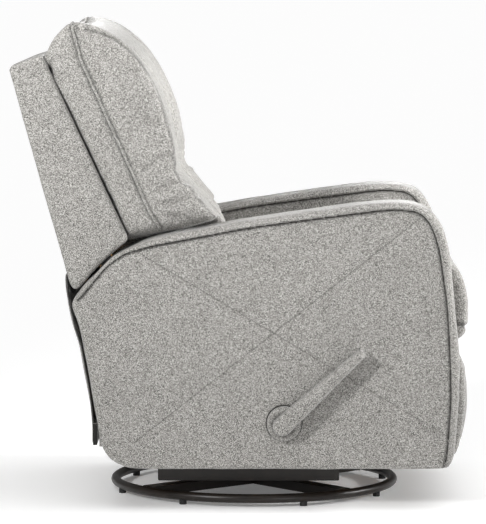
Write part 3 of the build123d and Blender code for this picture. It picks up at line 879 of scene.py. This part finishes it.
def tuftWrinkles(co, gap, along, look):
    # wrinkles pulled from the tuft across the waist
    angle = np.arctan2(along, np.abs(co[:, 1]) + 1e-6)
    far = np.linalg.norm(np.stack([co[:, 1], along], axis=1), axis=1)
    rays = np.array([noise.noise(Vector((math.cos(a) * 6, math.sin(a) * 6, f * 7 + (2 if y > 0 else 0))))
                     for a, f, y in zip(angle, far, co[:, 1])])
    near = bell(np.maximum(gap - 0.01, 0), 0.05)
    return look["wrinkle"] * rays * near * bell(np.maximum(far - 0.06, 0), 0.16)


def finishCover(pillow, look, front, middle):
    co = readPoints(pillow)
    no = readNormals(pillow)
    plane = co[:, [0, 2]]
    outY = np.abs(co[:, 1])
    onSide = outY > 0.27
    sideOnly = ease((outY - 0.312) / 0.018)
    shellGap = gapTo(look["shellSeam"], plane)
    weltGap = gapTo(look["welt"], plane)
    seamGap, seamRun = distanceTo(metres(look["sideSeam"]), plane)
    seamFade = 1 - 0.25 * ease((seamRun - 0.16) / 0.08)
    groove = dent(look["weltGroove"], weltGap) * onSide
    groove += dent(look["seamGroove"], seamGap) * sideOnly * seamFade
    gap, along = distanceTo(front, plane)
    wrinkle = tuftWrinkles(co, gap, along - middle, look)
    waist = noiseBands(co, 0.020, 0.13, 11.0)
    waist = waist * bell(co[:, 2] - 0.735 - 0.15 * (co[:, 0] + 0.17), 0.06) * sideOnly
    broad = look["ripple"] * softNoise(co, 0.10, 12.0)
    folds = sideFolds(plane, look) * sideOnly
    # the middle of the top sags between its corners
    sag = look["sag"] * ease((0.31 - outY) / 0.12) * ease((co[:, 2] - 0.93) / 0.10)
    back = look["farBack"] * ease((co[:, 1] + 0.20) / 0.30) * ease((0.74 - co[:, 2]) / 0.05)
    back += sum(deep * bell(co[:, 2] - high, wide) for deep, high, wide in look["lowDips"])
    back *= bell(np.maximum(gap - 0.02, 0), 0.06)
    co = co - no * groove[:, None] + no * (wrinkle + look["waistFold"] * waist + broad + folds)[:, None]
    co[:, 2] -= sag
    co[:, 0] -= back
    # the side turns in beside the shell and above the arm, and stays clear of the arm
    floorZ = np.interp(co[:, 0], *zip(*metres(look["armTop"]))) + 0.002
    tuck = dent(look["shellTuck"], shellGap) + dent(look["armTuck"], np.maximum(co[:, 2] - floorZ, 0))
    co[:, 1] -= np.sign(co[:, 1]) * tuck * onSide
    over = np.abs(co[:, 1]) > 0.2465
    co[:, 2] = np.where(over & (co[:, 0] > -0.30), np.maximum(co[:, 2], floorZ), co[:, 2])
    writePoints(pillow, co)
    # painted shade in the welt, along the side seam and in the gap beside the shell
    shade = dent(look["weltShade"], weltGap) * onSide
    shade = np.maximum(shade, dent(look["seamShade"], seamGap) * sideOnly * seamFade)
    shade = np.maximum(shade, dent(look["shellShade"], shellGap) * onSide)
    paintShade(pillow, shade)


def pillowWelt(pillow, look):
    # one cord up the right side, across the top and down the left side
    tree = skinTree(pillow)
    side = sideLine(look["welt"], 0.010)
    right, left = ([tuple(onSkin(tree, (x, s * 0.45, z), (0, -s, 0), 0.0012)) for x, z in side]
                   for s in (-1, 1))
    across = [tuple(onSkin(tree, (-0.385, y / 1000, 1.12), (0, 0, -1), 0.0012)) for y in range(-315, 316, 15)]
    dress(cords("pillowWelt", [right[::-1] + across + left], look["weltRadius"]), "backrest")


def pillowPiece(look):
    front = sideLine(look["front"], 0.012)
    rear = sideLine(look["rear"], 0.014)
    pillow = pillowBlocks(look, front, rear)
    remeshed(pillow, look["voxel"])
    relaxed(pillow, 2)
    # how far along the front line the tuft lies
    tuftX = np.interp(look["tuftHeight"], [z for x, z in front], [x for x, z in front])
    middle = distanceTo(front, np.array([(tuftX, look["tuftHeight"])]))[1][0]
    co, core = drawIn(pillow, look, front, middle)
    filled(pillow, heldCover(co, look, rear, core), look["pressure"], look["lift"])
    finer(pillow)
    relaxed(pillow, 1)
    finishCover(pillow, look, front, middle)
    dress(pillow, "backrest", "back_pillow")
    pillowWelt(pillow, look)


pillowPiece(pillowLook)
print("pillow done")


# ---- rear flap ----

flapLook = {
    "line": [
        (-342, 142), (-342, 165), (-343, 188), (-350, 240), (-361, 300), (-370, 350), (-384, 395),
        (-394, 445), (-398, 480), (-398, 505),
    ],
    "half": 0.346, "thick": 0.003, "strips": 56, "fold": 0.010, "edgeShade": (0.85, 0.004),
    # a thin dark cap, painted shade of the gap at the end of the strip that holds the flap: its outline, its
    # two planes in metres and its rim
    "shadeCapEnd": [(-341.4, 139.5), (-332.6, 139.5), (-332.6, 185.5), (-341.4, 185.5)],
    "hemPlanes": (0.3492, 0.3508), "hemRim": 0.0004,
}


def flapPiece(look):
    bm = bmesh.new()
    verts = [bm.verts.new((x, -look["half"], z)) for x, z in sideLine(look["line"], 0.012)]
    edges = [bm.edges.new(pair) for pair in zip(verts[:-1], verts[1:])]
    step = 2 * look["half"] / look["strips"]
    for _ in range(look["strips"]):
        grown = bmesh.ops.extrude_edge_only(bm, edges=edges)
        verts = [g for g in grown["geom"] if isinstance(g, bmesh.types.BMVert)]
        edges = [g for g in grown["geom"] if isinstance(g, bmesh.types.BMEdge)]
        bmesh.ops.translate(bm, vec=(0, step, 0), verts=verts)
    bmesh.ops.recalc_face_normals(bm, faces=bm.faces)
    flap = newPiece("rearFlap", bm)
    co = readPoints(flap)
    # it hangs in soft upright folds, flat where it is fixed
    free = ease((co[:, 2] - 0.15) / 0.12) * ease((0.50 - co[:, 2]) / 0.08)
    folds = np.array([noise.noise(Vector((p[1] * 9, p[2] * 1.6, 3.0))) for p in co])
    co[:, 0] += look["fold"] * folds * free
    writePoints(flap, co)
    thick = flap.modifiers.new("cloth thickness", "SOLIDIFY")
    thick.thickness = look["thick"]
    thick.offset = 0
    bakeModifiers(flap)
    finer(flap)
    # painted shade on the cut edges, which lie in shade
    paintShade(flap, dent(look["edgeShade"], look["half"] - np.abs(readPoints(flap)[:, 1])))
    flap.data.materials.append(weave)
    flap.data.shade_smooth()
    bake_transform(flap)
    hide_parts("rear_flap")
    return flap


# dark caps on the ends of the strip that holds the flap: painted shade of the gap beside the arm
def flapShadeCap(look):
    ends = []
    for side in (-1, 1):
        low, high = sorted(side * y for y in look["hemPlanes"])
        ends.append(("shadeCapEnd", metres(look["shadeCapEnd"]), low, high, look["hemRim"], 2))
    dress(joined("flapShadeCap", ends), "chair", material=liningAndShade)


flap = flapPiece(flapLook)
flapShadeCap(flapLook)
print("flap done")


# ---- lever ----

leverLook = {
    "axis": (66, 189), "angle": 42.8, "reach": 231.4, "root": 21, "tip": 10.5, "back": 5.5, "dome": 11,
    "bossRadius": 37, "bossIn": 362.6, "bossOut": 384, "paddleOut": 408,
    # cover of both parts, in metres
    "voxel": 0.0025, "bossRim": 0.008, "paddleRim": 0.0085, "seamRadius": 0.0017,
    "armShade": (0.8, 0.004), "footShade": (0.55, 0.008), "rimWide": 0.0022, "rimDeep": 0.0010,
    "rimShade": 0.45, "ripple": 0.0006,
}


def bossPiece(look):
    ax, az = (c / 1000 for c in look["axis"])
    radius, inner = look["bossRadius"] / 1000, look["bossIn"] / 1000
    bm = bmesh.new()
    made = bmesh.ops.create_circle(bm, cap_ends=True, radius=radius, segments=48)
    turned = Matrix.Rotation(math.radians(90), 3, "X")
    bmesh.ops.rotate(bm, cent=(0, 0, 0), matrix=turned, verts=made["verts"])
    bmesh.ops.translate(bm, vec=(ax, -inner, az), verts=made["verts"])
    grown = bmesh.ops.extrude_face_region(bm, geom=list(bm.faces))
    top = [g for g in grown["geom"] if isinstance(g, bmesh.types.BMVert)]
    bmesh.ops.translate(bm, vec=(0, -(look["bossOut"] - look["bossIn"]) / 1000, 0), verts=top)
    bmesh.ops.recalc_face_normals(bm, faces=bm.faces)
    rim = [e for e in bm.edges if all(v in top for v in e.verts)]
    bmesh.ops.bevel(bm, geom=rim, offset=look["bossRim"], segments=5, profile=0.5,
                    affect="EDGES", material=-1)
    boss = newPiece("leverBoss", bm)
    remeshed(boss, look["voxel"])
    relaxed(boss, 3)
    co = readPoints(boss)
    # painted shade where it meets the arm and round the paddle's foot
    shadeByArm = dent(look["armShade"], -co[:, 1] - (look["bossIn"] + 4) / 1000)
    foot = np.linalg.norm(co[:, [0, 2]] - np.array((ax - 0.002, az - 0.002)), axis=1)
    shadeByPaddle = dent(look["footShade"], np.maximum(foot - look["root"] / 1000, 0))
    paintShade(boss, np.maximum(shadeByArm, shadeByPaddle))
    dress(boss, "lever", "lever_boss")
    # a dark ring cord round the boss's foot: painted shade of the gap between boss and arm
    ring = []
    for k in range(65):
        a = math.tau * k / 64
        reach = (look["bossRadius"] + 0.4) / 1000
        ring.append((ax + math.cos(a) * reach, -inner, az + math.sin(a) * reach))
    dress(cords("leverSeamShade", [ring], look["seamRadius"], 4), "lever", material=seamThread)


def paddlePiece(look):
    turn = math.radians(look["angle"])
    way = Vector((math.cos(turn), math.sin(turn)))
    axis = Vector([c / 1000 for c in look["axis"]])
    start = axis - way * look["back"] / 1000
    end = axis + way * (look["reach"] - look["tip"]) / 1000
    # two arcs, joined by the lines that touch both
    lean = math.acos((look["root"] - look["tip"]) / 1000 / (end - start).length)
    loop = []
    for middle, radius, first, last in ((end, look["tip"], turn - lean, turn + lean),
                                        (start, look["root"], turn + lean, turn - lean + 2 * math.pi)):
        for k in range(15):
            a = first + (last - first) * k / 14
            loop.append((middle[0] + math.cos(a) * radius / 1000, middle[1] + math.sin(a) * radius / 1000))
    paddle = slabPiece("leverPaddle", loop, -look["paddleOut"] / 1000, -look["bossOut"] / 1000 + 0.002,
                       look["paddleRim"], 5)
    remeshed(paddle, look["voxel"])
    relaxed(paddle, 3)
    # the face is domed: it falls away towards its edges
    co = readPoints(paddle)
    gap, run = distanceTo([start, end], co[:, [0, 2]])
    reach = (look["root"] + (look["tip"] - look["root"]) * run / (end - start).length) / 1000
    fall = 1 - np.sqrt(1 - 0.96 * np.clip(gap / reach, 0, 1) ** 2)
    co[:, 1] += look["dome"] / 1000 * fall * ease((-co[:, 1] - 0.384) / 0.012)
    writePoints(paddle, co)
    # a sunk seam runs round its rim, with painted shade in it
    no = readNormals(paddle)
    co += no * (look["ripple"] * softNoise(co, 0.02, 5.0))[:, None]
    rim = bell(-co[:, 1] - (look["bossOut"] + 9) / 1000, look["rimWide"]) * (np.abs(no[:, 1]) < 0.75)
    co -= no * (look["rimDeep"] * rim)[:, None]
    writePoints(paddle, co)
    paintShade(paddle, look["rimShade"] * rim)
    dress(paddle, "lever", "lever_paddle")


bossPiece(leverLook)
paddlePiece(leverLook)
print("lever done")


# ---- floor, light and camera ----

roomLook = {
    "floor": "#ffffff", "floorGlow": 0.13, "air": 0.22,
    "overhead": {"from": (0.15, -0.10, 0.97), "strength": 2.0, "spread": 80},
    "key": {"place": (-2.9, -3.8, 2.5), "aim": (-0.1, -0.3, 1.25), "size": 0.7, "beam": 40, "power": 15},
    "fill": {"place": (1.9, -4.4, 0.5), "aim": (0.0, -0.3, 0.9), "size": 1.4, "beam": 60, "power": 3.5},
    "rim": {"place": (3.4, -0.1, 1.25), "aim": (-0.2, 0.0, 0.88), "size": 0.5, "beam": 40, "power": 12.5},
    "lens": 244.7, "eye": (0.0479, -7.8796, 1.1925), "yaw": 0.5286, "pitch": 5.0154,
}


def floorPlane(look):
    bm = bmesh.new()
    bmesh.ops.create_grid(bm, x_segments=1, y_segments=1, size=300)
    floor = newPiece("floor", bm)
    mat, tree, out = newMaterial("studio floor")
    # a faint glow keeps the floor white far away
    paint = addNode(tree, "ShaderNodeBsdfPrincipled",
                    {"Base Color": fromHex(look["floor"]), "Roughness": 0.35, "Specular IOR Level": 0,
                     "Emission Color": (1, 1, 1, 1), "Emission Strength": look["floorGlow"]})
    tree.links.new(paint.outputs[0], out.inputs[0])
    floor.data.materials.append(mat)


def lamp(name, look):
    light = bpy.data.lights.new(name, "AREA")
    light.shape = "DISK"
    light.size = look["size"]
    light.energy = look["power"]
    light.spread = math.radians(look["beam"])
    obj = bpy.data.objects.new(name, light)
    scene.collection.objects.link(obj)
    obj.location = look["place"]
    aim = Vector(look["aim"]) - Vector(look["place"])
    obj.rotation_euler = aim.to_track_quat("-Z", "Y").to_euler()


def overheadLight(look):
    light = bpy.data.lights.new("overhead", "SUN")
    light.energy = look["strength"]
    light.angle = math.radians(look["spread"])
    obj = bpy.data.objects.new("overhead", light)
    scene.collection.objects.link(obj)
    obj.rotation_euler = Vector(look["from"]).to_track_quat("Z", "Y").to_euler()


def studioAir(strength):
    world = bpy.data.worlds.new("studio air")
    world.use_nodes = True
    background = world.node_tree.nodes["Background"]
    background.inputs["Color"].default_value = (1, 1, 1, 1)
    background.inputs["Strength"].default_value = strength
    scene.world = world


def photoCamera(look):
    data = bpy.data.cameras.new("camera")
    data.sensor_width = 36
    data.lens = look["lens"]
    cam = bpy.data.objects.new("camera", data)
    scene.collection.objects.link(cam)
    cam.location = look["eye"]
    yaw, pitch = math.radians(look["yaw"]), math.radians(look["pitch"])
    way = Vector((-math.sin(yaw) * math.cos(pitch), math.cos(yaw) * math.cos(pitch), -math.sin(pitch)))
    cam.rotation_euler = way.to_track_quat("-Z", "Y").to_euler()
    data.clip_end = 100
    scene.camera = cam


floorPlane(roomLook)
overheadLight(roomLook["overhead"])
for lampName in ("key", "fill", "rim"):
    lamp(lampName, roomLook[lampName])
studioAir(roomLook["air"])
photoCamera(roomLook)
print("scene done")
